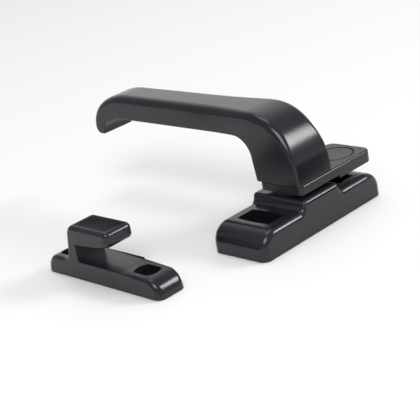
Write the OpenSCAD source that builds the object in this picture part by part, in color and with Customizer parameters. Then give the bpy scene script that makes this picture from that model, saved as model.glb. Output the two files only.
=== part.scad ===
// Casement window cam handle with its hook keeper.
// The handle base lies on z = 0 and the lever turns about the z axis.
// Units are millimetres.

/* [Handle base] */
// Length of the handle base
base_l = 81; // [78:1:90]
// Width of the handle base
base_w = 31; // [30:0.5:36]
// Height of the two screw shelves
shelf_h = 12.4; // [11:0.1:13]
// Height of the raised pivot block
block_h = 16.6; // [15.6:0.1:18]
// Length of the raised pivot block
block_l = 24.4; // [24:0.2:28]
// Distance between the two fixing screws
screw_spacing = 48; // [47:0.5:50]
// Radius of each fixing screw hole
screw_hole_r = 2.4; // [2:0.1:2.8]

/* [Lever] */
// Reach of the grip from the pivot to its tip
lever_reach = 121; // [105:1:130]
// Height of the top of the grip
grip_top = 54; // [50:0.5:60]
// Depth of the grip from its top to its underside
grip_t = 11.6; // [9:0.2:12.6]
// Width of the post where it meets the tongue
post_w = 23.2; // [22:0.2:26]
// Width of the grip at its tip
grip_w = 18.6; // [15:0.2:19]

/* [Tongue] */
// Reach of the tongue from the pivot
tongue_reach = 39.4; // [37:0.2:42]
// Width of the tongue
tongue_w = 24.2; // [23:0.1:24.6]
// Thickness of the tongue beside the pivot
tongue_t = 4.1; // [3.6:0.1:4.8]
// Gap between the pivot block and the tongue
tongue_gap = 1.9; // [1.8:0.1:2.6]

/* [Keeper] */
// Length of the keeper
keeper_l = 73.6; // [72:0.2:80]
// Width of the keeper
keeper_w = 15.4; // [14:0.2:18]
// Height of the keeper's screw shelves
keeper_shelf_h = 8.4; // [8:0.1:9]
// Height of the top of the hook
hook_top = 25.2; // [24:0.2:27]
// Distance between the keeper's two fixing screws
keeper_spacing = 48; // [47:0.5:50]
// Where the keeper lies beside the handle, along x
keeper_x = -39.5; // [-60:0.5:-35]
// Where the keeper lies beside the handle, along y
keeper_y = -78.5; // [-110:0.5:-76]

/* [Hidden] */
$fn = 64;
cut = 1;
arc_steps = 20;

base_corner_r = 3.2;
base_end_r = 8;
block_edge_r = 2.2;
step_fillet_r = 2.6;
step_r = block_edge_r + step_fillet_r;
step_turn = 90 - 2 * atan((step_r - (block_h - shelf_h)) / step_r);
pocket_w = 18.6;
pocket_l = 10.8;
pocket_bow_r = 25;
pocket_floor = 4.5;
sink_r = 4.4;
sink_depth = 2;

spindle_r = 6;
running_gap = 0.05;
square_w = 10;
key_w = 8;
bush_r = 7.6;
flange_r = 9.8;
flange_t = 0.7;
recess_r = 11.2;
recess_h = 6.2;

screw_r = 2.5;
screw_head_r = 4.6;
screw_head_t = 2;
head_z = 0.4;
plate_r = 9.5;
plate_t = 1;
stop_r = 10.8;
stop_t = 1.2;
slip_r = 7.9;
slip_t = 0.5;
spring_t = 0.4;
stop_pin_r = 1.25;
stop_pin_at = 9.5;
stop_pin_angle = 135;
stop_pin_top = 12;
turn_range = 90;
stop_play = 9;

tongue_z = block_h + tongue_gap;
tongue_top = tongue_z + tongue_t;
tongue_mid_x = 1.5;
tongue_back = 10.9;
tongue_back_r = 2.5;
tongue_end_r = 4;
pad_z = block_h + 0.25;
pad_y = 15.5;
button_x = 2.1;
button_y = 27.8;
button_r = 7.8;
button_stem_r = 5.2;
button_t = 2.4;
groove_w = 0.6;
groove_d = 0.7;

spindle_top = 34;
screw_top = 40;
post_out = 13.1;
post_in = -11.3;
arch_x = -15.7;
arch_power = 2.28;
arch_lean = 1.3;
arch_in_z = 32.5;
arch_in_r = 10.4;
under_z = grip_top - grip_t;
tip_z = 33.4;
tip_curve_x = lever_reach - 24.6;
tip_curve_z = 37.4;
tip_round = 4;
nose_x = lever_reach - 7;
nose_curve = 11.8;
waist_x = 36;
waist_w = 19.4;

keeper_left = -36;
keeper_right = keeper_left + keeper_l;
keeper_end_a = 8;
keeper_corner_r = 1.6;
rise_x = -18.6;
rise_r = 5;
hook_round = 5;
hook_left = -17.2;
hook_end = 10.5;
hook_edge_r = 1.8;
slot_wall = -12;
slot_in_z = 16.6;
slot_out_z = 18.1;
ramp_end = 14.1;
ramp_rise = 0.6;
keeper_pocket_r = 5.9;
keeper_pocket_w = 8.7;
keeper_pocket_floor = 3.6;
keeper_hole_r = 2.2;
keeper_sink_r = 3.9;
keeper_sink_depth = 1.6;

// Points along an elliptical arc about c with radii r, from angle a0 to a1.
function arc(c, r, a0, a1) = [
    for (i = [0:arc_steps])
        let (a = a0 + (a1 - a0) * i / arc_steps)
            [c[0] + r[0] * cos(a), c[1] + r[1] * sin(a)]
];

// Like arc, but fuller at the shoulder when the power is above 2.
function full_arc(c, r, a0, a1, power) = [
    for (i = [0:arc_steps])
        let (a = a0 + (a1 - a0) * i / arc_steps)
            [c[0] + r[0] * pow(cos(a), 2 / power), c[1] + r[1] * pow(sin(a), 2 / power)]
];

// A rectangle with round corners, between two opposite corners.
module round_rect(low, high, r) {
    translate([low[0] + r, low[1]]) square([high[0] - low[0] - 2 * r, high[1] - low[1]]);
    translate([low[0], low[1] + r]) square([high[0] - low[0], high[1] - low[1] - 2 * r]);
    for (x = [low[0] + r, high[0] - r], y = [low[1] + r, high[1] - r])
        translate([x, y]) circle(r);
}

// Extrudes an outline drawn in x and z along y, centred.
module along_y(width) {
    rotate([90, 0, 0]) linear_extrude(width, center = true) children();
}

// Extrudes an outline drawn in y and z along x, centred.
module along_x(width) {
    rotate([90, 0, 90]) linear_extrude(width, center = true) children();
}

// A square bar standing on z = 0.
module square_bar(width, height) {
    translate([-width / 2, -width / 2, 0]) cube([width, width, height]);
}

// A countersunk hole that ends at the pocket floor.
module screw_hole(r, head_r, depth, floor_z) {
    translate([0, 0, -cut]) cylinder(h = floor_z + cut, r = r);
    translate([0, 0, floor_z - depth]) cylinder(h = depth, r1 = r, r2 = head_r);
}

// Side outline of the base: two shelves with round ends and a raised block.
module base_outline() {
    half = base_l / 2;
    polygon(concat(
        [[-half, 0]],
        arc([-half + base_end_r, shelf_h - base_end_r], [base_end_r, base_end_r], 180, 90),
        arc([-block_l / 2 - step_fillet_r, shelf_h + step_fillet_r],
            [step_fillet_r, step_fillet_r], -90, step_turn - 90),
        arc([-block_l / 2 + block_edge_r, block_h - block_edge_r],
            [block_edge_r, block_edge_r], 90 + step_turn, 90),
        arc([block_l / 2 - block_edge_r, block_h - block_edge_r],
            [block_edge_r, block_edge_r], 90, 90 - step_turn),
        arc([block_l / 2 + step_fillet_r, shelf_h + step_fillet_r],
            [step_fillet_r, step_fillet_r], 270 - step_turn, 270),
        arc([half - base_end_r, shelf_h - base_end_r], [base_end_r, base_end_r], 90, 0),
        [[half, 0]]
    ));
}

// Screw pocket of the base: flat sides and bowed ends.
module base_pocket() {
    bow = pocket_bow_r - pocket_l / 2 - 0.4;
    translate([0, 0, pocket_floor]) linear_extrude(block_h) intersection() {
        square([pocket_w, pocket_l + 2], center = true);
        translate([0, bow]) circle(pocket_bow_r);
        translate([0, -bow]) circle(pocket_bow_r);
    }
}

module base_casting() {
    color("#232427") difference() {
        intersection() {
            along_x(base_w) base_outline();
            linear_extrude(block_h)
                round_rect([-base_w / 2, -base_l / 2], [base_w / 2, base_l / 2], base_corner_r);
        }
        translate([0, 0, -cut]) cylinder(h = recess_h + cut, r = recess_r);
        cylinder(h = block_h + cut, r = bush_r);
        rotate(stop_pin_angle) translate([stop_pin_at, 0, 0])
            cylinder(h = stop_pin_top, r = stop_pin_r);
        for (side = [-1, 1]) translate([0, side * screw_spacing / 2, 0]) {
            base_pocket();
            screw_hole(screw_hole_r, sink_r, sink_depth, pocket_floor);
        }
    }
}

module pivot_bush() {
    color("#2b2b2d") difference() {
        union() {
            translate([0, 0, recess_h]) cylinder(h = block_h - recess_h, r = bush_r);
            translate([0, 0, block_h]) cylinder(h = flange_t, r = flange_r);
        }
        cylinder(h = tongue_top, r = spindle_r + running_gap);
    }
}

module stop_pin() {
    low = head_z + screw_head_t + plate_t + 0.2;
    color("#8a8c90") rotate(stop_pin_angle) translate([stop_pin_at, 0, low])
        cylinder(h = stop_pin_top - low, r = stop_pin_r);
}

module thrust_washer() {
    color("#202022") translate([0, 0, block_h + flange_t]) difference() {
        cylinder(h = tongue_gap - flange_t, r = flange_r);
        translate([0, 0, -cut]) cylinder(h = tongue_gap + 2 * cut, r = spindle_r);
    }
}

// Side outline of the lever: post, arch, grip and the turned-down tip.
module lever_outline() {
    polygon(concat(
        [[post_in, tongue_top], [post_out, tongue_top]],
        full_arc([arch_x, tongue_top], [post_out - arch_x, grip_top - tongue_top],
            0, 90, arch_power),
        arc([-tip_curve_x, tip_curve_z],
            [lever_reach - tip_curve_x, grip_top - tip_curve_z], 90, 180),
        arc([-lever_reach + tip_round, tip_z + tip_round], [tip_round, tip_round], 190, 270),
        arc([-nose_x + nose_curve, tip_z], [nose_curve, under_z - tip_z], 180, 90),
        arc([post_in - arch_lean - arch_in_r, arch_in_z],
            [arch_in_r, under_z - arch_in_z], 90, 0)
    ));
}

// Top outline of the lever: wide at the post, narrowing to the grip.
module lever_plan() {
    far = lever_reach + cut;
    side = [[post_out + cut, post_w / 2], [-4, post_w / 2], [-14, post_w / 2 - 0.5],
        [-26, waist_w / 2 + 0.7], [-waist_x, waist_w / 2], [-far, grip_w / 2]];
    polygon(concat(side, [for (i = [len(side) - 1:-1:0]) [side[i][0], -side[i][1]]]));
}

module lever_casting() {
    color("#2a2b2e") difference() {
        intersection() {
            along_y(post_w) lever_outline();
            linear_extrude(grip_top + cut) lever_plan();
        }
        translate([0, 0, tongue_top - cut]) square_bar(square_w, spindle_top - tongue_top + cut);
        cylinder(h = screw_top, r = screw_r);
    }
}

// Top outline of the tongue up to a given y.
module tongue_plan() {
    low_x = tongue_mid_x - tongue_w / 2;
    high_x = tongue_mid_x + tongue_w / 2;
    round_rect([low_x, -tongue_back], [high_x, 0], tongue_back_r);
    translate([low_x, -tongue_back / 2]) square([tongue_w, tongue_reach / 2 + tongue_back / 2]);
    round_rect([low_x, 0], [high_x, tongue_reach], tongue_end_r);
}

module tongue_plate() {
    color("#26272a") difference() {
        union() {
            translate([0, 0, tongue_z]) linear_extrude(tongue_t) tongue_plan();
            translate([0, 0, pad_z]) linear_extrude(tongue_top - pad_z) intersection() {
                tongue_plan();
                translate([-tongue_w, pad_y]) square([2 * tongue_w, tongue_reach]);
            }
        }
        translate([0, 0, tongue_z - cut]) square_bar(square_w, tongue_t + 2 * cut);
        translate([button_x, button_y, pad_z - cut]) cylinder(h = tongue_top, r = button_stem_r);
        translate([button_x, button_y, tongue_top - button_t])
            cylinder(h = tongue_top, r = button_r);
        translate([button_x, button_y, tongue_top - groove_d])
            cylinder(h = tongue_top, r = button_r + groove_w);
    }
}

module tongue_button() {
    color("#2e2f32") translate([button_x, button_y, 0]) {
        translate([0, 0, pad_z]) cylinder(h = tongue_top - button_t - pad_z, r = button_stem_r);
        translate([0, 0, tongue_top - button_t]) cylinder(h = button_t, r = button_r);
    }
}

module spindle() {
    key_z = head_z + screw_head_t + plate_t;
    color("#9a9ca0") difference() {
        union() {
            translate([0, 0, key_z]) square_bar(key_w, recess_h - key_z);
            translate([0, 0, recess_h]) cylinder(h = tongue_z - recess_h, r = spindle_r);
            translate([0, 0, tongue_z]) square_bar(square_w, spindle_top - tongue_z);
        }
        cylinder(h = spindle_top + cut, r = screw_r);
    }
}

module slip_washer() {
    color("#d8d8d2") translate([0, 0, recess_h - slip_t]) difference() {
        cylinder(h = slip_t, r = slip_r);
        translate([0, 0, -cut]) cylinder(h = slip_t + 2 * cut, r = spindle_r + 0.1);
    }
}

// A coned spring washer: low at its inner edge, high at its outer edge.
module disc_spring() {
    low = head_z + screw_head_t + plate_t + stop_t;
    high = recess_h - slip_t;
    color("#7d8085") rotate_extrude() polygon([
        [spindle_r + 0.1, low], [spindle_r + 0.4, low],
        [slip_r, high - spring_t], [slip_r, high],
        [slip_r - 0.3, high], [spindle_r + 0.1, low + spring_t]
    ]);
}

// A keyed disc with a notch that the stop pin runs in.
module stop_disc() {
    reach = 2 * stop_r;
    a0 = stop_pin_angle - turn_range - stop_play;
    a1 = stop_pin_angle + stop_play;
    mid = (a0 + a1) / 2;
    notch_r = stop_pin_at - stop_pin_r - 0.25;
    color("#8f9195") translate([0, 0, head_z + screw_head_t + plate_t]) difference() {
        cylinder(h = stop_t, r = stop_r);
        translate([0, 0, -cut]) square_bar(key_w, stop_t + 2 * cut);
        translate([0, 0, -cut]) linear_extrude(stop_t + 2 * cut) difference() {
            polygon([[0, 0], for (a = [a0, mid, a1]) reach * [cos(a), sin(a)]]);
            circle(notch_r);
        }
    }
}

module clamp_washer() {
    color("#85878b") translate([0, 0, head_z + screw_head_t]) difference() {
        cylinder(h = plate_t, r = plate_r);
        translate([0, 0, -cut]) cylinder(h = plate_t + 2 * cut, r = screw_r + 0.1);
    }
}

module clamp_screw() {
    slot_w = 1.2;
    slot_d = 1.1;
    color("#a3a5a8") difference() {
        union() {
            translate([0, 0, head_z]) cylinder(h = screw_head_t, r = screw_head_r);
            translate([0, 0, head_z]) cylinder(h = screw_top - head_z, r = screw_r);
        }
        for (turn = [0, 90]) rotate(turn)
            translate([-screw_head_r * 0.6, -slot_w / 2, head_z - cut])
                cube([screw_head_r * 1.2, slot_w, slot_d + cut]);
    }
}

// Side outline of the keeper: two shelves, the rise and the hook over its slot.
module keeper_outline() {
    polygon(concat(
        arc([keeper_left + keeper_end_a, 0], [keeper_end_a, keeper_shelf_h], 180, 90),
        arc([rise_x - rise_r, keeper_shelf_h + rise_r], [rise_r, rise_r], -90, -5),
        arc([hook_left + hook_round, hook_top - hook_round], [hook_round, hook_round], 175, 90),
        arc([hook_end - hook_edge_r, hook_top - hook_edge_r], [hook_edge_r, hook_edge_r], 90, 0),
        [[hook_end, slot_out_z], [slot_wall, slot_in_z],
            [slot_wall, keeper_shelf_h], [ramp_end, keeper_shelf_h]],
        arc([keeper_right - keeper_end_a, 0], [keeper_end_a, keeper_shelf_h], 90, 0)
    ));
}

// Slot floor, which rises towards the back of the keeper.
module keeper_ramp() {
    overlap = 0.5;
    translate([(slot_wall + ramp_end) / 2, 0, 0]) along_x(ramp_end - slot_wall) polygon([
        [-keeper_w / 2, keeper_shelf_h - overlap], [keeper_w / 2, keeper_shelf_h - overlap],
        [keeper_w / 2, keeper_shelf_h + ramp_rise], [-keeper_w / 2, keeper_shelf_h]
    ]);
}

module keeper_casting() {
    color("#242528") translate([keeper_x, keeper_y, 0]) difference() {
        intersection() {
            union() {
                along_y(keeper_w) keeper_outline();
                keeper_ramp();
            }
            linear_extrude(hook_top + cut) round_rect([keeper_left, -keeper_w / 2],
                [keeper_right, keeper_w / 2], keeper_corner_r);
        }
        for (side = [-1, 1]) translate([side * keeper_spacing / 2, 0, 0]) {
            translate([0, 0, keeper_pocket_floor]) linear_extrude(hook_top) intersection() {
                circle(keeper_pocket_r);
                square([3 * keeper_pocket_r, keeper_pocket_w], center = true);
            }
            screw_hole(keeper_hole_r, keeper_sink_r, keeper_sink_depth, keeper_pocket_floor);
        }
    }
}

base_casting();
pivot_bush();
stop_pin();
thrust_washer();
lever_casting();
tongue_plate();
tongue_button();
spindle();
slip_washer();
disc_spring();
stop_disc();
clamp_washer();
clamp_screw();
keeper_casting();
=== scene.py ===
"""Looks of a casement window cam handle and its hook keeper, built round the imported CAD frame."""

import math

import bmesh
import bpy
from mathutils import Matrix, Vector


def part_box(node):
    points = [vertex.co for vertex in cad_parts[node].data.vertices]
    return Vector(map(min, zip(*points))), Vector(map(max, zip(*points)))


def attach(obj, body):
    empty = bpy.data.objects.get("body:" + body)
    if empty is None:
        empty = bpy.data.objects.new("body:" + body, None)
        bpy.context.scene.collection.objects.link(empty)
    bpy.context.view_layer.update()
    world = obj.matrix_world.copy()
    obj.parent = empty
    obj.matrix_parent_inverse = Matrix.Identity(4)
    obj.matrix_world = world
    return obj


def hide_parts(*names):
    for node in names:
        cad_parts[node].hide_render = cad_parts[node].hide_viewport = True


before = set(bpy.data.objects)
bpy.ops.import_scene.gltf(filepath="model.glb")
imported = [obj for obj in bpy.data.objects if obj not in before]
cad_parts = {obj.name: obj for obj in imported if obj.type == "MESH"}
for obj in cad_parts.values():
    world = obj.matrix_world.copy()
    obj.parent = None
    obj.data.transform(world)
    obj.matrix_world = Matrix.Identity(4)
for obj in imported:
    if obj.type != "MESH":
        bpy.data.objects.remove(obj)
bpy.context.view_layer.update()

MM = 0.001
SHARP_ANGLE = math.radians(38)
CLEAR = 1.0  # how far a cutter stands out of a surface, in millimetres
SLIVER = 0.002  # how far apart two faces stay that would else lie in one plane
MERGE = 0.002  # points closer together than this become one


# ---------------------------------------------------------------- mesh helpers


def lerp(a, b, t):
    return a + (b - a) * t


def smooth(a, b, x):
    """0 below a, 1 above b, and a smooth rise between them."""
    t = min(1.0, max(0.0, (x - a) / (b - a)))
    return t * t * (3 - 2 * t)


def arc(centre, radii, start, end, steps, inward=False):
    """Points of an elliptical arc, each with its outward normal. Angles are in degrees."""
    points = []
    for i in range(steps + 1):
        a = math.radians(lerp(start, end, i / steps))
        normal = Vector((math.cos(a) / radii[0], math.sin(a) / radii[1])).normalized()
        if inward:
            normal = -normal
        point = (centre[0] + radii[0] * math.cos(a), centre[1] + radii[1] * math.sin(a))
        points.append((Vector(point), normal))
    return points


def corner(x, y, normal_x, normal_y):
    """One outline point, with the mitred normal that its edge rounding follows."""
    return (Vector((x, y)), Vector((normal_x, normal_y)))


def new_piece(name, mesh):
    piece = bpy.data.objects.new(name, mesh)
    bpy.context.scene.collection.objects.link(piece)
    return piece


def mesh_piece(name, vertices, faces):
    """An object from points in millimetres, with its faces turned outwards."""
    mesh = bpy.data.meshes.new(name)
    mesh.from_pydata([Vector(v) * MM for v in vertices], [], faces)
    shell = bmesh.new()
    shell.from_mesh(mesh)
    bmesh.ops.remove_doubles(shell, verts=shell.verts, dist=MERGE * MM)
    bmesh.ops.recalc_face_normals(shell, faces=shell.faces)
    shell.to_mesh(mesh)
    shell.free()
    return new_piece(name, mesh)


def settle(piece):
    """Applies the piece's modifiers."""
    graph = bpy.context.evaluated_depsgraph_get()
    piece.data = bpy.data.meshes.new_from_object(piece.evaluated_get(graph), depsgraph=graph)
    piece.modifiers.clear()
    return piece


def carve(piece, *cutters):
    """Cuts the cutters out of the piece, and removes them."""
    for cutter in cutters:
        hole = piece.modifiers.new("hole", "BOOLEAN")
        hole.operation, hole.solver, hole.object = "DIFFERENCE", "EXACT", cutter
        settle(piece)
        bpy.data.objects.remove(cutter)
    return piece


def soften(piece, width, segments=2, angle=40):
    """Rounds every edge sharper than the angle by a small radius, in millimetres."""
    edge = piece.modifiers.new("edge", "BEVEL")
    edge.limit_method, edge.angle_limit = "ANGLE", math.radians(angle)
    edge.width, edge.segments, edge.miter_outer = width * MM, segments, "MITER_ARC"
    edge.use_clamp_overlap = True
    return settle(piece)


def shade(piece):
    """Smooth shading that keeps flat faces flat."""
    piece.data.shade_smooth()
    piece.data.set_sharp_from_angle(angle=SHARP_ANGLE)
    normals = piece.modifiers.new("normals", "WEIGHTED_NORMAL")
    normals.keep_sharp, normals.weight = True, 100
    return settle(piece)


def rounded_prism(name, outline, half_width, radius, place, steps=6):
    """A solid from an open outline whose two ends lie on the floor of the piece.

    outline: points (u, v) with their normals. radius(point, normal): the radius of the edge
    between the outline's surface and the two flat sides. place(u, v, side): the point in space.
    """
    turns = [math.pi / 2 * i / steps for i in range(steps + 1)]
    rows = [(-1, a) for a in reversed(turns)] + [(1, a) for a in turns]
    vertices = []
    for point, normal in outline:
        r = radius(point, normal)
        for sign, a in rows:
            inset = point - normal * r * (1 - math.cos(a))
            vertices.append(place(inset.x, inset.y, sign * (half_width - r + r * math.sin(a))))
    n, m = len(outline), len(rows)
    faces = [
        (i * m + j, (i + 1) * m + j, (i + 1) * m + j + 1, i * m + j + 1)
        for i in range(n - 1)
        for j in range(m - 1)
    ]
    faces.append(tuple(i * m for i in range(n)))
    faces.append(tuple(i * m + m - 1 for i in reversed(range(n))))
    faces.append(tuple(range(m)) + tuple((n - 1) * m + j for j in reversed(range(m))))
    return mesh_piece(name, vertices, faces)


def plate(name, outline, low, high, edge_low=0.0, edge_high=0.0, steps=4):
    """A flat plate from a closed outline in x and y, with round upper and lower edges."""
    rings = []
    for r, z, side in ((edge_low, low, -1), (edge_high, high, 1)):
        turns = range(steps + 1) if r else [0]
        ring = []
        for i in turns:
            a = math.pi / 2 * i / steps
            ring.append((r * (1 - math.cos(a)), z - side * r * (1 - math.sin(a))))
        rings += reversed(ring) if side < 0 else ring
    vertices = []
    for inset, z in rings:
        for point, normal in outline:
            moved = point - normal * inset
            vertices.append((moved.x, moved.y, z))
    n = len(outline)
    faces = [
        (k * n + i, k * n + (i + 1) % n, (k + 1) * n + (i + 1) % n, (k + 1) * n + i)
        for k in range(len(rings) - 1)
        for i in range(n)
    ]
    faces.append(tuple(reversed(range(n))))
    faces.append(tuple((len(rings) - 1) * n + i for i in range(n)))
    return mesh_piece(name, vertices, faces)


def lathe(name, profile, centre, sides=64):
    """A turned solid from (radius, z) points, whose first and last points lie on its axis."""
    vertices, faces = [], []
    for r, z in profile[1:-1]:
        for k in range(sides):
            a = 2 * math.pi * k / sides
            vertices.append((centre[0] + r * math.cos(a), centre[1] + r * math.sin(a), z))
    rings = len(profile) - 2
    for i in range(rings - 1):
        for k in range(sides):
            nxt = (k + 1) % sides
            faces.append(
                (i * sides + k, i * sides + nxt, (i + 1) * sides + nxt, (i + 1) * sides + k)
            )
    for r, z in (profile[0], profile[-1]):
        vertices.append((centre[0], centre[1], z))
    last = (rings - 1) * sides
    for k in range(sides):
        nxt = (k + 1) % sides
        faces.append((k, nxt, rings * sides))
        faces.append((last + k, last + nxt, rings * sides + 1))
    return mesh_piece(name, vertices, faces)


def shifted(outline, x, y):
    return [(point + Vector((x, y)), normal) for point, normal in outline]


def drill(centre, r, low, high, sides=64):
    """A cylinder that cuts a round hole."""
    return lathe("cutter", [(0, low), (r, low), (r, high), (0, high)], centre, sides)


def square_cutter(half, low, high):
    """A square bar about the turning axis."""
    points = ((-half, -half), (half, -half), (half, half), (-half, half))
    return plate("cutter", [corner(x, y, 0, 0) for x, y in points], low, high)


def screw_cutter(x, y, r, head_r, depth, floor_z):
    """The countersunk hole below a screw pocket."""
    top = floor_z + CLEAR / 2
    profile = [(0, -CLEAR), (r, -CLEAR), (r, floor_z - depth)]
    profile += [(head_r, floor_z), (head_r, top), (0, top)]
    return lathe("cutter", profile, (x, y), 48)


# ---------------------------------------------------------------- materials


class Surface:
    """A node-based material around one Principled shader."""

    def __init__(self, name, color, roughness, metallic=0.0, **values):
        self.material = bpy.data.materials.new(name)
        self.material.use_nodes = True
        self.tree = self.material.node_tree
        self.shader = self.tree.nodes["Principled BSDF"]
        self.color = (*color, 1.0)
        self.shader.inputs["Base Color"].default_value = self.color
        self.shader.inputs["Roughness"].default_value = roughness
        self.shader.inputs["Metallic"].default_value = metallic
        for key, value in values.items():
            self.shader.inputs[key.replace("_", " ")].default_value = value
        self.coordinates = self.tree.nodes.new("ShaderNodeTexCoord").outputs["Object"]
        self.last_bump = None

    def link(self, a, b):
        self.tree.links.new(a, b)

    def noise(self, scale, detail=3.0, stretch=(1, 1, 1)):
        """Noise with a given number of features to the metre."""
        mapping = self.tree.nodes.new("ShaderNodeMapping")
        mapping.inputs["Scale"].default_value = stretch
        self.link(self.coordinates, mapping.inputs["Vector"])
        noise = self.tree.nodes.new("ShaderNodeTexNoise")
        noise.inputs["Scale"].default_value = scale
        noise.inputs["Detail"].default_value = detail
        self.link(mapping.outputs[0], noise.inputs["Vector"])
        return noise.outputs["Fac"]

    def remap(self, value, low, high, out_low, out_high):
        node = self.tree.nodes.new("ShaderNodeMapRange")
        for key, number in (
            ("From Min", low),
            ("From Max", high),
            ("To Min", out_low),
            ("To Max", out_high),
        ):
            node.inputs[key].default_value = number
        self.link(value, node.inputs["Value"])
        return node.outputs["Result"]

    def combine(self, operation, a, b):
        node = self.tree.nodes.new("ShaderNodeMath")
        node.operation = operation
        self.link(a, node.inputs[0])
        self.link(b, node.inputs[1])
        return node.outputs[0]

    def add(self, a, b):
        return self.combine("ADD", a, b)

    def multiply(self, a, b):
        return self.combine("MULTIPLY", a, b)

    def tint(self, factor, other):
        """Mixes the base colour towards another one by a factor socket."""
        mix = self.tree.nodes.new("ShaderNodeMix")
        mix.data_type = "RGBA"
        source = self.shader.inputs["Base Color"]
        if source.is_linked:
            self.link(source.links[0].from_socket, mix.inputs["A"])
        else:
            mix.inputs["A"].default_value = self.color
        mix.inputs["B"].default_value = (*other, 1.0)
        self.link(factor, mix.inputs["Factor"])
        self.link(mix.outputs["Result"], source)

    def rough(self, value):
        self.link(value, self.shader.inputs["Roughness"])

    def bump(self, height, distance, strength=1.0):
        """Adds relief, with its depth in millimetres."""
        node = self.tree.nodes.new("ShaderNodeBump")
        node.inputs["Distance"].default_value = distance * MM
        node.inputs["Strength"].default_value = strength
        self.link(height, node.inputs["Height"])
        if self.last_bump:
            self.link(self.last_bump, node.inputs["Normal"])
        self.last_bump = node.outputs["Normal"]
        self.link(self.last_bump, self.shader.inputs["Normal"])

    def slopes(self):
        """A factor that is 1 on round upper edges and 0 on level or upright faces."""
        geometry = self.tree.nodes.new("ShaderNodeNewGeometry")
        axes = self.tree.nodes.new("ShaderNodeSeparateXYZ")
        self.link(geometry.outputs["Normal"], axes.inputs[0])
        off_upright = self.remap(axes.outputs["Z"], 0.06, 0.2, 0.0, 1.0)
        off_level = self.remap(axes.outputs["Z"], 0.9, 0.98, 1.0, 0.0)
        return self.multiply(off_upright, off_level)


def powder_coat(name, color, roughness, grain=1.0, polish=0.0):
    """Satin black powder coat: orange peel, fine grain, faint cloudiness and dust.

    polish is how much smoother the coat is where it thins on the round edges.
    """
    s = Surface(name, color, roughness, IOR=1.46)
    cloud = s.noise(55, 2)
    peel = s.noise(620, 2)
    fine = s.noise(2600, 2)
    s.tint(s.remap(cloud, 0.35, 0.75, 0.0, 0.35), tuple(c * 1.5 + 0.004 for c in color))
    dust = s.noise(900, 5)
    s.tint(s.remap(dust, 0.70, 0.80, 0.0, 0.25), (0.11, 0.11, 0.105))
    spread = s.add(
        s.remap(cloud, 0.3, 0.7, roughness - 0.03, roughness + 0.03),
        s.remap(fine, 0.3, 0.7, -0.02, 0.02),
    )
    if polish:
        spread = s.add(spread, s.remap(s.slopes(), 0.0, 1.0, 0.0, -polish))
    s.rough(spread)
    s.bump(peel, 0.05 * grain, 0.35)
    s.bump(fine, 0.012 * grain, 0.4)
    return s.material


def moulded(name, color, roughness):
    """Moulded nylon: matt, with a fine spark-eroded grain."""
    s = Surface(name, color, roughness, IOR=1.53)
    cloud = s.noise(120, 2)
    grain = s.noise(3200, 2)
    s.tint(s.remap(cloud, 0.35, 0.7, 0.0, 0.4), tuple(c * 1.35 + 0.003 for c in color))
    s.rough(s.remap(grain, 0.3, 0.7, roughness - 0.05, roughness + 0.05))
    s.bump(grain, 0.02, 0.5)
    return s.material


def plated(name, color, roughness, rings=True):
    """Zinc-plated or oiled steel, with fine turning marks and small stains."""
    s = Surface(name, color, roughness, metallic=1.0)
    stains = s.noise(240, 4)
    s.tint(s.remap(stains, 0.45, 0.75, 0.0, 0.45), tuple(c * 0.72 for c in color))
    s.rough(s.remap(stains, 0.3, 0.7, roughness - 0.06, roughness + 0.1))
    marks = s.noise(500, 2, (1, 1, 9) if rings else (9, 1, 1))
    s.bump(marks, 0.015, 0.35)
    return s.material


black_base = powder_coat("black_base", (0.0098, 0.0110, 0.0148), 0.21, polish=0.03)
black_lever = powder_coat("black_lever", (0.0098, 0.0108, 0.0138), 0.20)
black_tongue = powder_coat("black_tongue", (0.0130, 0.0128, 0.0150), 0.38, grain=1.3, polish=0.27)
black_keeper = powder_coat("black_keeper", (0.0098, 0.0110, 0.0148), 0.23, polish=0.06)
button_nylon = moulded("button_nylon", (0.021, 0.022, 0.022), 0.46)
bush_nylon = moulded("bush_nylon", (0.006, 0.006, 0.0065), 0.6)
slip_nylon = moulded("slip_nylon", (0.72, 0.71, 0.66), 0.45)
steel = plated("steel", (0.52, 0.52, 0.53), 0.34)
spring_steel = plated("spring_steel", (0.34, 0.35, 0.37), 0.3)
screw_steel = plated("screw_steel", (0.6, 0.6, 0.61), 0.27)


def finish_piece(piece, body, node, material):
    """Puts a piece on its body in place of its CAD node, with its material."""
    shade(piece)
    piece.data.materials.clear()
    piece.data.materials.append(material)
    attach(piece, body)
    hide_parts(node)
    return piece


# ---------------------------------------------------------------- handle base

BASE_SHELF, BASE_UPRIGHT = 12.4, 2.4
BLOCK_HALF = 12.2
BLOCK_EDGE, STEP_FILLET = 2.2, 2.6
BASE_RUN, BASE_END = 9.2, 8.0
SHELF_EDGE, TOP_EDGE, BASE_CORNER, BASE_BREAK = 3.1, 2.1, 3.7, 0.22
POCKET_Y = 24.0
POCKET_HALF_X, POCKET_HALF_Y, POCKET_BOW = 9.3, 5.0, 0.8
POCKET_FLOOR, POCKET_TOP = 4.5, 20
BASE_SCREW_R, BASE_SINK_R, BASE_SINK_DEPTH = 2.4, 4.4, 2
RECESS_R, RECESS_TOP = 11.2, 6.2
BORE_R, BORE_LOW, BORE_TOP = 7.6, 5, 18


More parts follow.
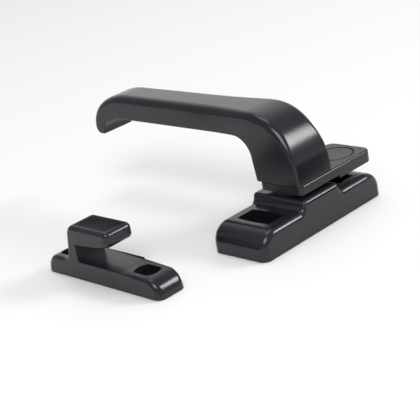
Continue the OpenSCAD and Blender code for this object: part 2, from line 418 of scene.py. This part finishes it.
def base_outline():
    """The base's side outline in y and z, from its near end over the block to its far end."""
    low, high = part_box("base_casting")
    half = high.y / MM
    shelf_r = BASE_SHELF + STEP_FILLET
    block_r = high.z / MM - BLOCK_EDGE
    fillet_y = BLOCK_HALF + STEP_FILLET
    edge_y = BLOCK_HALF - BLOCK_EDGE
    fillet, edge = (STEP_FILLET, STEP_FILLET), (BLOCK_EDGE, BLOCK_EDGE)
    turn = 90 - 2 * math.degrees(math.atan((shelf_r - block_r) / (STEP_FILLET + BLOCK_EDGE)))
    near = [corner(-half, 0, -1, 0), corner(-half, BASE_UPRIGHT, -1, 0)]
    near += arc((-half + BASE_RUN, BASE_SHELF - BASE_END), (BASE_RUN, BASE_END), 180, 90, 16)
    near += arc((-fillet_y, shelf_r), fillet, -90, turn - 90, 10, inward=True)
    near += arc((-edge_y, block_r), edge, 90 + turn, 90, 7)
    far = [(Vector((-p.x, p.y)), Vector((-n.x, n.y))) for p, n in reversed(near)]
    return near + far


def pocket_cutter(x, y, half_x, half_y, bow, floor_z, top):
    """A pocket with flat sides and bowed ends; bow is how far each end stands out."""
    sweep = math.degrees(2 * math.atan2(bow, half_x))
    r = half_x / math.sin(math.radians(sweep))
    points = []
    for side in (1, -1):
        centre = (0, side * (half_y - r))
        start = 90 - sweep if side > 0 else 270 - sweep
        points += arc(centre, (r, r), start, start + 2 * sweep, 8)
    return plate("cutter", shifted(points, x, y), floor_z, top)


def build_base():
    def radius(point, normal):
        reach = abs(point.x)
        if reach > BLOCK_HALF + STEP_FILLET:
            return lerp(SHELF_EDGE, BASE_CORNER, abs(normal.x) ** 2)
        return lerp(TOP_EDGE, SHELF_EDGE, smooth(BLOCK_HALF - 1, BLOCK_HALF + STEP_FILLET, reach))

    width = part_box("base_casting")[1].x / MM
    base = rounded_prism(
        "base_shell", base_outline(), width, radius, lambda u, v, side: (side, u, v)
    )
    cutters = [
        drill((0, 0), RECESS_R, -CLEAR, RECESS_TOP),
        drill((0, 0), BORE_R, BORE_LOW, BORE_TOP),
    ]
    pocket = (POCKET_HALF_X, POCKET_HALF_Y + POCKET_BOW, POCKET_BOW, POCKET_FLOOR, POCKET_TOP)
    screw = (BASE_SCREW_R, BASE_SINK_R, BASE_SINK_DEPTH, POCKET_FLOOR + SLIVER)
    for side in (-1, 1):
        cutters.append(pocket_cutter(0, side * POCKET_Y, *pocket))
        cutters.append(screw_cutter(0, side * POCKET_Y, *screw))
    carve(base, *cutters)
    soften(base, BASE_BREAK)
    return finish_piece(base, "base", "base_casting", black_base)


# ---------------------------------------------------------------- lever

POST_OUT, POST_IN = 13.1, -11.3
ARCH_X, ARCH_POWER, ARCH_LEAN = -15.7, 2.28, 1.3
ARCH_IN_Z, ARCH_IN_R = 32.5, 10.4
POST_SHARE = 0.3  # the share of the arch over which its inner side is straight
GRIP_TOP, GRIP_UNDER = 54.0, 42.4
TIP_CENTRE_X, TIP_CENTRE_Z = -96.4, 37.4
TIP_REACH, TIP_DROP = 24.6, 16.6
TIP_ROUND, TIP_TURN, LIP_RISE = 4.0, 84, 0.02
NOSE_X, NOSE_Z, NOSE_R = -102.2, 33.4, (11.8, 9.0)
FOOT_EDGE, ARCH_EDGE, GRIP_EDGE, TIP_EDGE, LIP_EDGE = 1.0, 3.5, 4.2, 2.8, 0.9
INNER_EDGE = 0.45
TIP_HALF, GRIP_HALF, POST_HALF = 9.3, 9.65, 11.6
SQUARE_HALF, SQUARE_TOP = 5, 34.001
THREAD_R, THREAD_LOW, THREAD_TOP = 2.5, 30, 40


def arch_stations(bottom, steps=30):
    """The post and the arch above it. The outer side is a superellipse."""
    stations = []
    for i in range(steps + 1):
        t = i / steps
        a = math.radians(90 * t)
        across, up = (max(0.0, v) ** (2 / ARCH_POWER) for v in (math.cos(a), math.sin(a)))
        outer = Vector((ARCH_X + (POST_OUT - ARCH_X) * across, bottom + (GRIP_TOP - bottom) * up))
        if t < POST_SHARE:
            foot = Vector((POST_IN, bottom))
            inner = foot.lerp(Vector((POST_IN - ARCH_LEAN, ARCH_IN_Z)), t / POST_SHARE)
        else:
            b = math.radians(90 * (t - POST_SHARE) / (1 - POST_SHARE))
            inner = Vector((POST_IN - ARCH_LEAN - ARCH_IN_R * (1 - math.cos(b)), ARCH_IN_Z))
            inner.y += (GRIP_UNDER - ARCH_IN_Z) * math.sin(b)
        stations.append((outer, inner, lerp(FOOT_EDGE, ARCH_EDGE, smooth(0.12, 0.5, t))))
    return stations


def grip_stations(top, under, steps=12):
    """The straight grip, from the arch's last outer and inner points."""
    stations = []
    for i in range(1, steps + 1):
        t = i / steps
        outer = top.lerp(Vector((TIP_CENTRE_X, GRIP_TOP)), t)
        inner = under.lerp(Vector((NOSE_X, GRIP_UNDER)), t)
        stations.append((outer, inner, lerp(ARCH_EDGE, GRIP_EDGE, smooth(0, 0.5, t))))
    return stations


def tip_stations(steps=18):
    """The turned-down tip, a quarter of an ellipse outside and inside."""
    stations = []
    for i in range(1, steps + 1):
        t = i / steps
        a = math.radians(90 + 90 * t)
        outer = (TIP_CENTRE_X + TIP_REACH * math.cos(a), TIP_CENTRE_Z + TIP_DROP * math.sin(a))
        inner = (NOSE_X + NOSE_R[0] * math.cos(a), NOSE_Z + NOSE_R[1] * math.sin(a))
        stations.append((Vector(outer), Vector(inner), lerp(GRIP_EDGE, TIP_EDGE, t)))
    return stations


def lip_stations(outer_end, inner_end, steps=8):
    """The rounding that closes the tip."""
    stations = []
    for i in range(1, steps + 1):
        a = math.radians(180 + TIP_TURN * i / steps)
        x = outer_end.x + TIP_ROUND * (1 + math.cos(a))
        outer = Vector((x, outer_end.y + TIP_ROUND * math.sin(a)))
        inner = inner_end + Vector((0.0, LIP_RISE * i))
        stations.append((outer, inner, lerp(TIP_EDGE, LIP_EDGE, (i / steps) ** 1.5)))
    return stations


def lever_stations():
    """(outer point, inner point, outer edge radius) along the lever, in x and z."""
    stations = arch_stations(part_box("tongue_plate")[1].z / MM)
    stations += grip_stations(*stations[-1][:2])
    stations += tip_stations()
    stations += lip_stations(*stations[-1][:2])
    return stations


def lever_half_width(x):
    """Half the lever's width at a given x: wide at the post, narrow along the grip."""
    grip = lerp(TIP_HALF, GRIP_HALF, smooth(-121, -36, x))
    return lerp(grip, POST_HALF, smooth(-38, -3, x))


def lever_ring(outer, inner, outer_r, steps=8):
    """One cross-section of the lever, as points in space."""
    middle = (outer + inner) / 2
    up = (outer - inner).normalized()
    half_t = (outer - inner).length / 2
    half_w = lever_half_width(middle.x)
    ring = []
    for across, along, r, start in (
        (1, 1, outer_r, 0),
        (-1, 1, outer_r, 90),
        (-1, -1, INNER_EDGE, 180),
        (1, -1, INNER_EDGE, 270),
    ):
        r = min(r, half_t * 0.96)
        for i in range(steps + 1):
            a = math.radians(start + 90 * i / steps)
            b = across * (half_w - r) + r * math.cos(a)
            t = along * (half_t - r) + r * math.sin(a)
            point = middle + up * t
            spread = lever_half_width(point.x) - lever_half_width(middle.x)
            ring.append((point.x, b + across * spread, point.y))
    return ring


def build_lever():
    rings = [lever_ring(*station) for station in lever_stations()]
    n = len(rings[0])
    vertices = [point for ring in rings for point in ring]
    faces = [
        (k * n + i, k * n + (i + 1) % n, (k + 1) * n + (i + 1) % n, (k + 1) * n + i)
        for k in range(len(rings) - 1)
        for i in range(n)
    ]
    faces.append(tuple(range(n)))
    faces.append(tuple((len(rings) - 1) * n + i for i in reversed(range(n))))
    lever = mesh_piece("lever_shell", vertices, faces)
    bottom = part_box("tongue_plate")[1].z / MM
    carve(
        lever,
        square_cutter(SQUARE_HALF, bottom - CLEAR, SQUARE_TOP),
        drill((0, 0), THREAD_R, THREAD_LOW, THREAD_TOP, 32),
    )
    return finish_piece(lever, "lever", "lever_casting", black_lever)


# ---------------------------------------------------------------- tongue

PAD_Y = 15.5
TONGUE_BACK_R, TONGUE_END_R = 2.5, 4.0
TONGUE_LOW_EDGE, TONGUE_TOP_EDGE, TONGUE_BREAK = 0.4, 0.9, 0.12
STEP_REACH = 30
BUTTON_X, BUTTON_Y, BUTTON_R, STEM_R, BUTTON_T = 2.1, 27.8, 7.8, 5.2, 2.4
STEM_LOW, STEM_TOP, STEM_BREAK = 10, 21, 0.3
BUTTON_EDGE = 0.35
BUTTON_DISH = ((0, 0.12), (3.5, 0.11), (5.6, 0.03))  # radius and depth
GROOVE_W, GROOVE_D = 0.75, 0.9


def tongue_outline(low, high):
    """The tongue from above: a rectangle with small corners behind and larger ones in front."""
    outline = []
    for cx, cy, r, start in (
        (high.x - TONGUE_BACK_R, low.y + TONGUE_BACK_R, TONGUE_BACK_R, -90),
        (high.x - TONGUE_END_R, high.y - TONGUE_END_R, TONGUE_END_R, 0),
        (low.x + TONGUE_END_R, high.y - TONGUE_END_R, TONGUE_END_R, 90),
        (low.x + TONGUE_BACK_R, low.y + TONGUE_BACK_R, TONGUE_BACK_R, 180),
    ):
        outline += arc((cx, cy), (r, r), start, start + 90, 8)
    return outline


def button_seat(top):
    """The seat that the button lies in, with the groove round it."""
    groove_r = BUTTON_R + GROOVE_W
    profile = [(0, top - BUTTON_T), (BUTTON_R, top - BUTTON_T), (BUTTON_R, top - GROOVE_D)]
    profile += [(groove_r, top - GROOVE_D), (groove_r, top + 2 * CLEAR), (0, top + 2 * CLEAR)]
    return lathe("cutter", profile, (BUTTON_X, BUTTON_Y), 96)


def build_tongue():
    low, high = (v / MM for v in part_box("tongue_plate"))
    thin_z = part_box("thrust_washer")[1].z / MM
    outline = tongue_outline(low, high)
    edges = (TONGUE_LOW_EDGE, TONGUE_TOP_EDGE)
    tongue = plate("tongue_shell", outline, low.z, high.z, *edges, 6)
    far = ((-STEP_REACH, -STEP_REACH), (STEP_REACH, -STEP_REACH))
    near = ((STEP_REACH, PAD_Y), (-STEP_REACH, PAD_Y))
    step = [corner(x, y, 0, 0) for x, y in far + near]
    carve(
        tongue,
        plate("cutter", step, low.z - 2 * CLEAR, thin_z),
        square_cutter(SQUARE_HALF, low.z - 2 * CLEAR, high.z + 2 * CLEAR),
        drill((BUTTON_X, BUTTON_Y), STEM_R, STEM_LOW, STEM_TOP, 96),
        button_seat(high.z),
    )
    soften(tongue, TONGUE_BREAK)
    return finish_piece(tongue, "lever", "tongue_plate", black_tongue)


def build_button():
    """The button: a shallow dish on top, a round rim, and the stem that holds it."""
    low, high = ((v / MM).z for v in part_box("tongue_plate"))
    profile = [(r, high - depth) for r, depth in BUTTON_DISH]
    for i in range(6):
        a = math.pi / 2 * i / 5
        rim_r = BUTTON_R - BUTTON_EDGE + BUTTON_EDGE * math.sin(a)
        profile.append((rim_r, high - BUTTON_EDGE + BUTTON_EDGE * math.cos(a)))
    profile += [(BUTTON_R, high - BUTTON_T), (STEM_R, high - BUTTON_T)]
    profile += [(STEM_R, low + STEM_BREAK), (STEM_R - STEM_BREAK, low), (0, low)]
    button = lathe("button_disc", profile, (BUTTON_X, BUTTON_Y), 96)
    return finish_piece(button, "lever", "tongue_button", button_nylon)


# ---------------------------------------------------------------- keeper

KEEPER_LEFT = -36.0
KEEPER_SHELF = 8.4
KEEPER_END = 8.0
RISE_X, RISE_R, RISE_TURN = -18.6, 5.0, 85
HOOK_LEFT, HOOK_ROUND, HOOK_END, HOOK_EDGE = -17.2, 5.0, 10.5, 2.6
HOOK_LIP, FADE = 2.3, 5.0
SLOT_WALL, SLOT_IN, SLOT_OUT = -12.0, 16.6, 18.1
RAMP_END, RAMP_LOW, RAMP_RISE = 14.1, 0.1, 0.6
NEAR = 0.1  # a point this far past a place still counts as being there
SLOT_EDGE, LIP_EDGE_R, NOSE_EDGE = 0.3, 2.2, 2.5
KEEPER_EDGE, KEEPER_CORNER, HOOK_TOP_EDGE, KEEPER_BREAK = 1.9, 3.4, 2.3, 0.18
KEEPER_SCREW = 24.0
KEEPER_POCKET_R, KEEPER_POCKET_HALF = 5.9, 4.35
KEEPER_POCKET_FLOOR, KEEPER_POCKET_TOP = 3.6, 40
KEEPER_SCREW_R, KEEPER_SINK_R, KEEPER_SINK_DEPTH = 2.2, 3.9, 1.6


def keeper_outline(left, right, top):
    """The keeper's side outline in x and z, from its hook end over the hook to its mouth end."""
    slope = math.atan2(SLOT_OUT - SLOT_IN, HOOK_END - SLOT_WALL)
    points = arc((left + KEEPER_END, 0), (KEEPER_END, KEEPER_SHELF), 180, 90, 16)
    rise = (RISE_X - RISE_R, KEEPER_SHELF + RISE_R)
    points += arc(rise, (RISE_R, RISE_R), -90, RISE_TURN - 90, 10, inward=True)
    shoulder = (HOOK_LEFT + HOOK_ROUND, top - HOOK_ROUND)
    points += arc(shoulder, (HOOK_ROUND, HOOK_ROUND), 90 + RISE_TURN, 90, 10)
    nose = (HOOK_END - HOOK_EDGE, top - HOOK_EDGE)
    points += arc(nose, (HOOK_EDGE, HOOK_EDGE), 90, 0, 7)
    lip_x = HOOK_END - HOOK_LIP
    points += arc((lip_x, SLOT_OUT + HOOK_LIP), (HOOK_LIP, HOOK_LIP), 0, -90, 6)
    for i in range(1, 6):
        x = lip_x - FADE * i / 5
        z = lerp(SLOT_OUT, SLOT_IN, (lip_x - x) / (lip_x - SLOT_WALL))
        points.append(corner(x, z, 0, -1))
    points.append(corner(SLOT_WALL, SLOT_IN, math.sin(slope) + 1, -1))
    points.append(corner(SLOT_WALL, KEEPER_SHELF + RAMP_LOW, 1, 1))
    points.append(corner(RAMP_END, KEEPER_SHELF + RAMP_LOW, 1, 1))
    points.append(corner(RAMP_END, KEEPER_SHELF, 0, 1))
    points += arc((right - KEEPER_END, 0), (KEEPER_END, KEEPER_SHELF), 90, 0, 16)
    return points


def keeper_edge(point, normal):
    """The radius of the keeper's long edges at a point of its outline."""
    lip_x = HOOK_END - HOOK_LIP
    if SLOT_WALL - NEAR < point.x < RAMP_END + NEAR and point.y < SLOT_IN - 1:
        return SLOT_EDGE
    if SLOT_WALL - NEAR < point.x < lip_x + NEAR and point.y < SLOT_OUT + NEAR:
        return lerp(SLOT_EDGE, LIP_EDGE_R, smooth(lip_x - FADE, lip_x, point.x))
    if abs(point.x - HOOK_END) < HOOK_EDGE + NEAR:
        return lerp(LIP_EDGE_R, NOSE_EDGE, abs(normal.x))
    if point.y < KEEPER_SHELF:
        return lerp(KEEPER_EDGE, KEEPER_CORNER, abs(normal.x) ** 2)
    return lerp(KEEPER_EDGE, HOOK_TOP_EDGE, smooth(KEEPER_SHELF + 4, KEEPER_SHELF + 12, point.y))


def keeper_cutters(x, y):
    """The screw pocket at a place, a circle cut off flat on two sides, and its screw hole."""
    spread = math.degrees(math.asin(KEEPER_POCKET_HALF / KEEPER_POCKET_R))
    pocket = []
    for start in (0, 180):
        radii = (KEEPER_POCKET_R, KEEPER_POCKET_R)
        pocket += arc((0, 0), radii, start - spread, start + spread, 12)
    screw = (KEEPER_SCREW_R, KEEPER_SINK_R, KEEPER_SINK_DEPTH, KEEPER_POCKET_FLOOR + SLIVER)
    return [
        plate("cutter", shifted(pocket, x, y), KEEPER_POCKET_FLOOR, KEEPER_POCKET_TOP),
        screw_cutter(x, y, *screw),
    ]


def build_keeper():
    low, high = (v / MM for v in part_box("keeper_casting"))
    middle_y = (low.y + high.y) / 2
    half = (high.y - low.y) / 2
    origin_x = low.x - KEEPER_LEFT

    def place(u, v, side):
        """The slot's floor rises across the keeper's width as a ramp.

        At RAMP_END rounding leaves all but the outermost rows unlifted, so the step there fades.
        """
        lift = 0
        if SLOT_WALL - NEAR < u <= RAMP_END and KEEPER_SHELF - 0.2 < v < KEEPER_SHELF + 0.4:
            lift = RAMP_RISE * (side + half) / (2 * half)
        return (origin_x + u, middle_y + side, v + lift)

    outline = keeper_outline(low.x - origin_x, high.x - origin_x, high.z)
    keeper = rounded_prism("keeper_shell", outline, half, keeper_edge, place)
    for side in (-1, 1):
        carve(keeper, *keeper_cutters(origin_x + side * KEEPER_SCREW, middle_y))
    soften(keeper, KEEPER_BREAK, 2, 48)
    return finish_piece(keeper, "keeper", "keeper_casting", black_keeper)


# ---------------------------------------------------------------- CAD nodes that stay


def dress_cad_nodes():
    """Gives the carried-over CAD nodes their materials."""
    looks = {
        "pivot_bush": bush_nylon,
        "thrust_washer": bush_nylon,
        "slip_washer": slip_nylon,
        "stop_pin": steel,
        "spindle": steel,
        "disc_spring": spring_steel,
        "stop_disc": steel,
        "clamp_washer": steel,
        "clamp_screw": screw_steel,
    }
    for node, material in looks.items():
        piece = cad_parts[node]
        piece.data.materials.clear()
        piece.data.materials.append(material)


# ---------------------------------------------------------------- floor, light and camera


def build_floor():
    half, gap = 3.0, 0.0002
    corners = [(-half, -half, 0), (half, -half, 0), (half, half, 0), (-half, half, 0)]
    mesh = bpy.data.meshes.new("floor")
    mesh.from_pydata(corners, [], [(0, 1, 2, 3)])
    floor = new_piece("floor", mesh)
    floor.location.z = -gap
    s = Surface("pale_floor", (0.90, 0.90, 0.875), 0.8, IOR=1.2)
    s.rough(s.remap(s.noise(3, 2), 0.3, 0.7, 0.75, 0.85))
    floor.data.materials.append(s.material)


def area_light(name, place, target, size, power, color=(1, 1, 1)):
    lamp = bpy.data.lights.new(name, "AREA")
    lamp.shape, lamp.size, lamp.size_y = "RECTANGLE", size[0], size[1]
    lamp.energy, lamp.color = power, color
    light = bpy.data.objects.new(name, lamp)
    bpy.context.scene.collection.objects.link(light)
    light.location = place
    light.rotation_mode = "QUATERNION"
    light.rotation_quaternion = (Vector(target) - Vector(place)).to_track_quat("-Z", "Y")
    return light


def build_lights():
    """Lamps to the camera's right, above and in front, and a sky that is palest at the back."""
    world = bpy.data.worlds.new("studio")
    bpy.context.scene.world = world
    world.use_nodes = True
    tree = world.node_tree
    sky = tree.nodes["Background"]
    sky.inputs["Strength"].default_value = 1.0
    coordinates = tree.nodes.new("ShaderNodeTexCoord")
    facing = tree.nodes.new("ShaderNodeVectorMath")
    facing.operation = "DOT_PRODUCT"
    facing.inputs[1].default_value = Vector((-0.69, 0.63, 0.36)).normalized()
    tree.links.new(coordinates.outputs["Generated"], facing.inputs[0])
    ramp = tree.nodes.new("ShaderNodeValToRGB")
    stops = ramp.color_ramp.elements
    stops[0].position, stops[0].color = 0.0, (0.40, 0.41, 0.43, 1)
    stops[1].position, stops[1].color = 0.95, (1.08, 1.10, 1.08, 1)
    middle = stops.new(0.72)
    middle.color = (0.42, 0.43, 0.45, 1)
    tree.links.new(facing.outputs["Value"], ramp.inputs["Fac"])
    tree.links.new(ramp.outputs["Color"], sky.inputs["Color"])
    area_light("window", (1.55, 1.60, 1.25), (0.0, 0.0, 0.03), (0.75, 0.78), 27)
    area_light("ceiling", (-0.35, 0.35, 2.2), (-0.05, -0.05, 0.0), (1.1, 1.1), 8)
    area_light("front", (0.89, -0.98, 1.36), (-0.03, -0.02, 0.02), (0.95, 0.95), 17)


def build_flags():
    """Small black cards that only reflections see. They keep the post and the hook's top dark."""
    s = Surface("black_card", (0.01, 0.01, 0.01), 1.0)
    s.rough(s.remap(s.noise(200), 0.3, 0.7, 0.9, 1.0))
    for name, near, far, low, high in (
        ("flag_post", (52, 16), (52, 52), 3, 30),
        ("flag_hook", (-96, -55), (-42, -55), 32, 50),
    ):
        corners = [(*near, low), (*far, low), (*far, high), (*near, high)]
        mesh = bpy.data.meshes.new(name)
        mesh.from_pydata([Vector(v) * MM for v in corners], [], [(0, 1, 2, 3)])
        flag = new_piece(name, mesh)
        flag.data.materials.append(s.material)
        flag.visible_camera = False
        flag.visible_diffuse = False
        flag.visible_shadow = False


def build_camera():
    """The camera at the angle from which the handle is seen, set by its target and distance."""
    azimuth, elevation, roll = math.radians(47.87), math.radians(21.25), math.radians(-10.54)
    distance, target = 536 * MM, Vector((-27.9, -27.0, 12.44)) * MM
    back = Vector(
        (
            math.sin(azimuth) * math.cos(elevation),
            -math.cos(azimuth) * math.cos(elevation),
            math.sin(elevation),
        )
    )
    data = bpy.data.cameras.new("camera")
    data.sensor_width, data.lens = 36.0, 103.0
    data.clip_start, data.clip_end = 0.02, 20
    camera = bpy.data.objects.new("camera", data)
    bpy.context.scene.collection.objects.link(camera)
    level = (-back).to_track_quat("-Z", "Y")
    camera.matrix_world = (
        Matrix.Translation(target + back * distance)
        @ level.to_matrix().to_4x4()
        @ Matrix.Rotation(roll, 4, "Z")
    )
    bpy.context.scene.camera = camera


bpy.context.scene.view_settings.view_transform = "Standard"
build_camera()
build_floor()
build_lights()
build_flags()
build_base()
build_lever()
build_tongue()
build_button()
build_keeper()
dress_cad_nodes()
